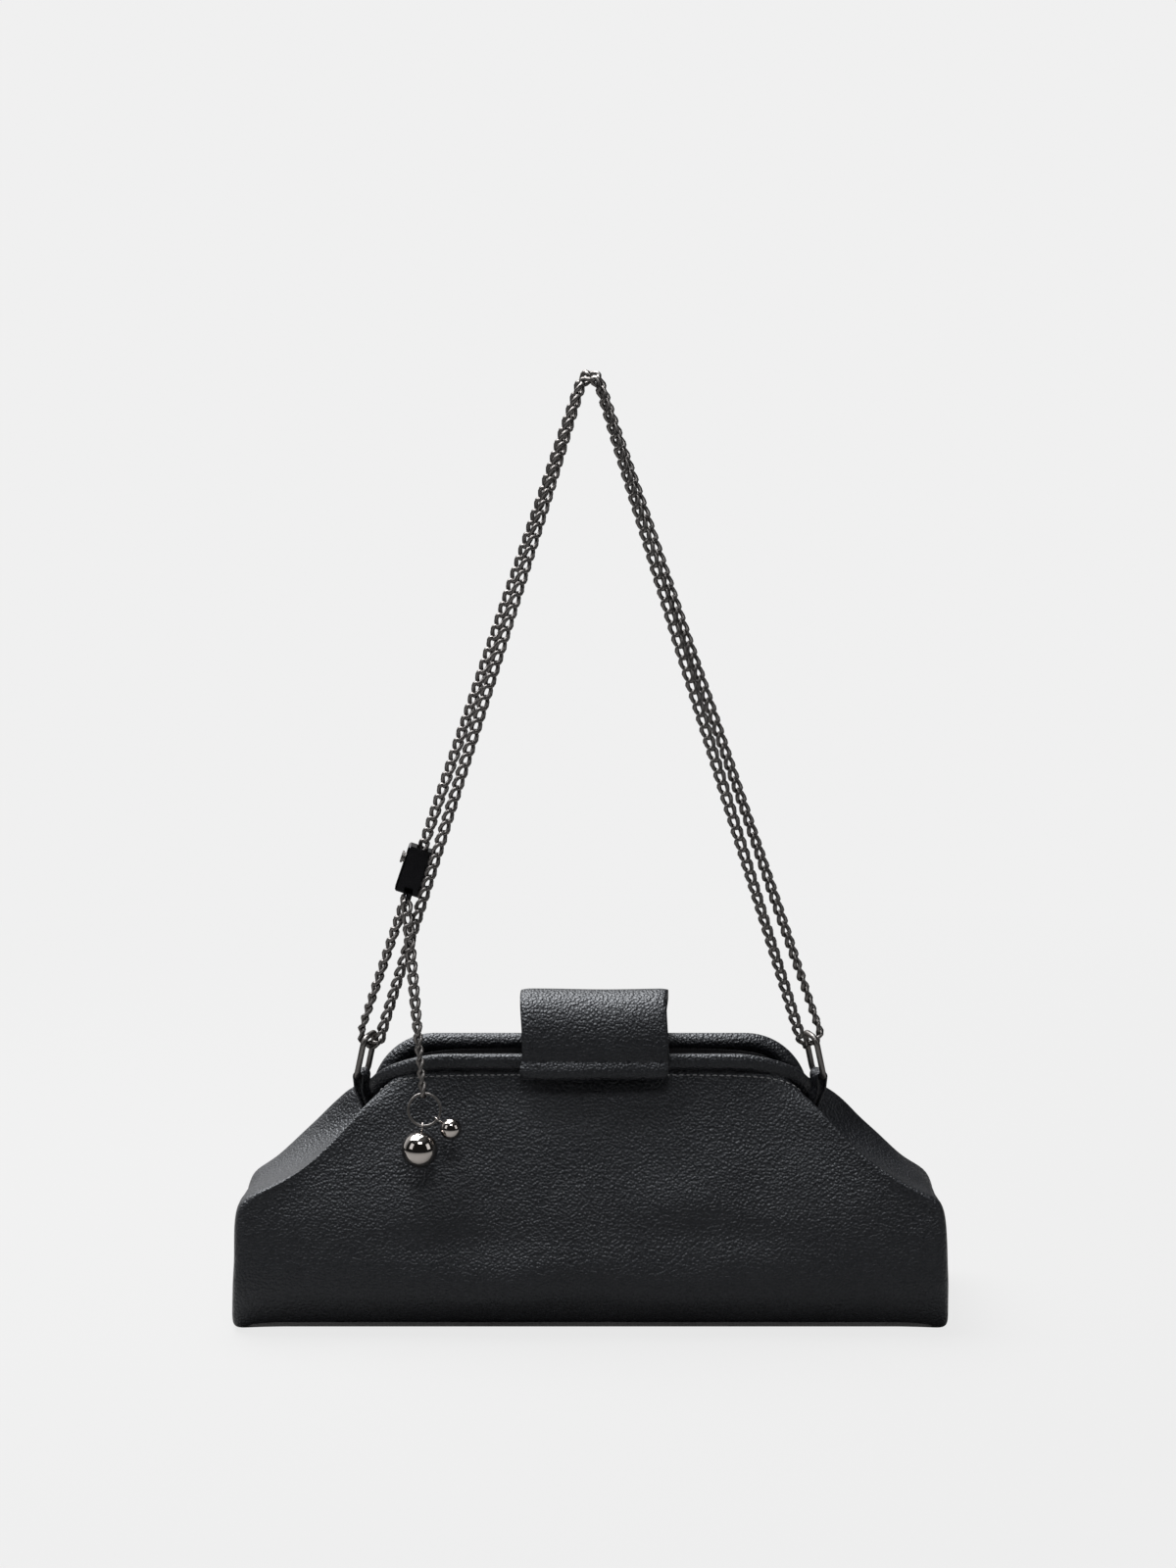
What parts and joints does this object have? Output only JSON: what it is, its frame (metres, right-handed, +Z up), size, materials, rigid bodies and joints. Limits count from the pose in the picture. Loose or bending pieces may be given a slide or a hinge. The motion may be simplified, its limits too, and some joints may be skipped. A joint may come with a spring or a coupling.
{
  "type": "chain shoulder bag",
  "caption": "Leather frame clutch with folded ends, a hinged mouth frame under a magnetic flap, and a doubled chain strap with a sliding stopper and hanging ball charms",
  "frame": {"origin": "on the floor under the middle of the pouch's base", "axes": "X along the bag to the viewer's right, Y from the front with the flap to the back, Z up"},
  "size_m": [0.3292, 0.0981, 0.442],
  "materials": {
    "pebbled_leather": "fine pebbled grain, semi-matt",
    "lining_cloth": "woven",
    "stiff_board": "matt board",
    "frame_steel": "plain steel",
    "gunmetal": "ruthenium plate, satin gloss",
    "dark_gunmetal": "black plate, satin",
    "polished_gunmetal": "mirror polished dark plate"
  },
  "bodies": {
    "bag": {"front_panel": "pebbled_leather", "back_panel": "pebbled_leather", "base_panel": "pebbled_leather", "left_gusset": "pebbled_leather", "right_gusset": "pebbled_leather", "base_board": "stiff_board", "lining": "lining_cloth", "front_yoke": "pebbled_leather", "back_yoke": "pebbled_leather", "back_frame_bar": "frame_steel", "back_frame_cover": "pebbled_leather", "left_hinge_pin": "frame_steel", "right_hinge_pin": "frame_steel", "left_ring_loop": "pebbled_leather", "right_ring_loop": "pebbled_leather", "flap_anchor": "pebbled_leather"},
    "front_frame": {"front_frame_bar": "frame_steel", "front_frame_cover": "pebbled_leather", "front_magnet": "frame_steel"},
    "flap": {"flap_outer": "pebbled_leather", "flap_lining": "pebbled_leather", "flap_magnet": "frame_steel"},
    "strap": {"left_ring": "gunmetal", "right_ring": "gunmetal", "chain_left_back": "gunmetal", "chain_left_front": "gunmetal", "chain_right_back": "gunmetal", "chain_right_front": "gunmetal"},
    "stopper": {"stopper_body": "dark_gunmetal", "button_spring": "frame_steel"},
    "button": {"stopper_button": "gunmetal"},
    "tail": {"chain_tail": "gunmetal"},
    "charm": {"charm_ring": "gunmetal"},
    "ball_large": {"large_ball": "polished_gunmetal"},
    "ball_small": {"small_ball": "polished_gunmetal"}
  },
  "joints": [
    {"name": "flap_lift", "type": "hinge", "parent": "bag", "child": "flap", "pos_m": [0, 0.01355, 0.134], "axis": [-1, 0, 0], "range_deg": [0, 120]},
    {"name": "frame_open", "type": "hinge", "parent": "bag", "child": "front_frame", "pos_m": [0, 0, 0.107], "axis": [1, 0, 0], "range_deg": [0, 35], "deforming": ["front_yoke"]},
    {"name": "strap_swing", "type": "hinge", "parent": "bag", "child": "strap", "pos_m": [0, 0, 0.1105], "axis": [-1, 0, 0], "range_deg": [0, 75], "deforming": ["left_ring_loop", "right_ring_loop"]},
    {"name": "stopper_slide", "type": "slide", "parent": "strap", "child": "stopper", "axis": [0.3204, -0.0584, 0.9455], "range_m": [0, 0.03]},
    {"name": "button_press", "type": "slide", "parent": "stopper", "child": "button", "axis": [0.9472, 0.0279, -0.3193], "range_m": [0, 0.0008], "stiffness_N_per_m": 300, "deforming": ["button_spring"]},
    {"name": "tail_swing", "type": "hinge", "parent": "stopper", "child": "tail", "pos_m": [-0.08462, -0.01488, 0.19778], "axis": [-1, 0, 0], "range_deg": [0, 50]},
    {"name": "charm_swing", "type": "hinge", "parent": "tail", "child": "charm", "pos_m": [-0.07672, -0.03532, 0.11096], "axis": [0, -0.9734, 0.2291], "range_deg": [-25, 25]},
    {"name": "large_ball_swing", "type": "hinge", "parent": "charm", "child": "ball_large", "pos_m": [-0.07693, -0.03869, 0.09663], "axis": [-0.9929, 0.0272, 0.1157], "range_deg": [0, 50]},
    {"name": "small_ball_swing", "type": "hinge", "parent": "charm", "child": "ball_small", "pos_m": [-0.07005, -0.038, 0.09957], "axis": [-0.5854, -0.1857, -0.7892], "range_deg": [0, 50]}
  ],
  "couplings": [
    {"joint": "frame_open", "follows": "flap_lift", "ratio": 0.29}
  ]
}
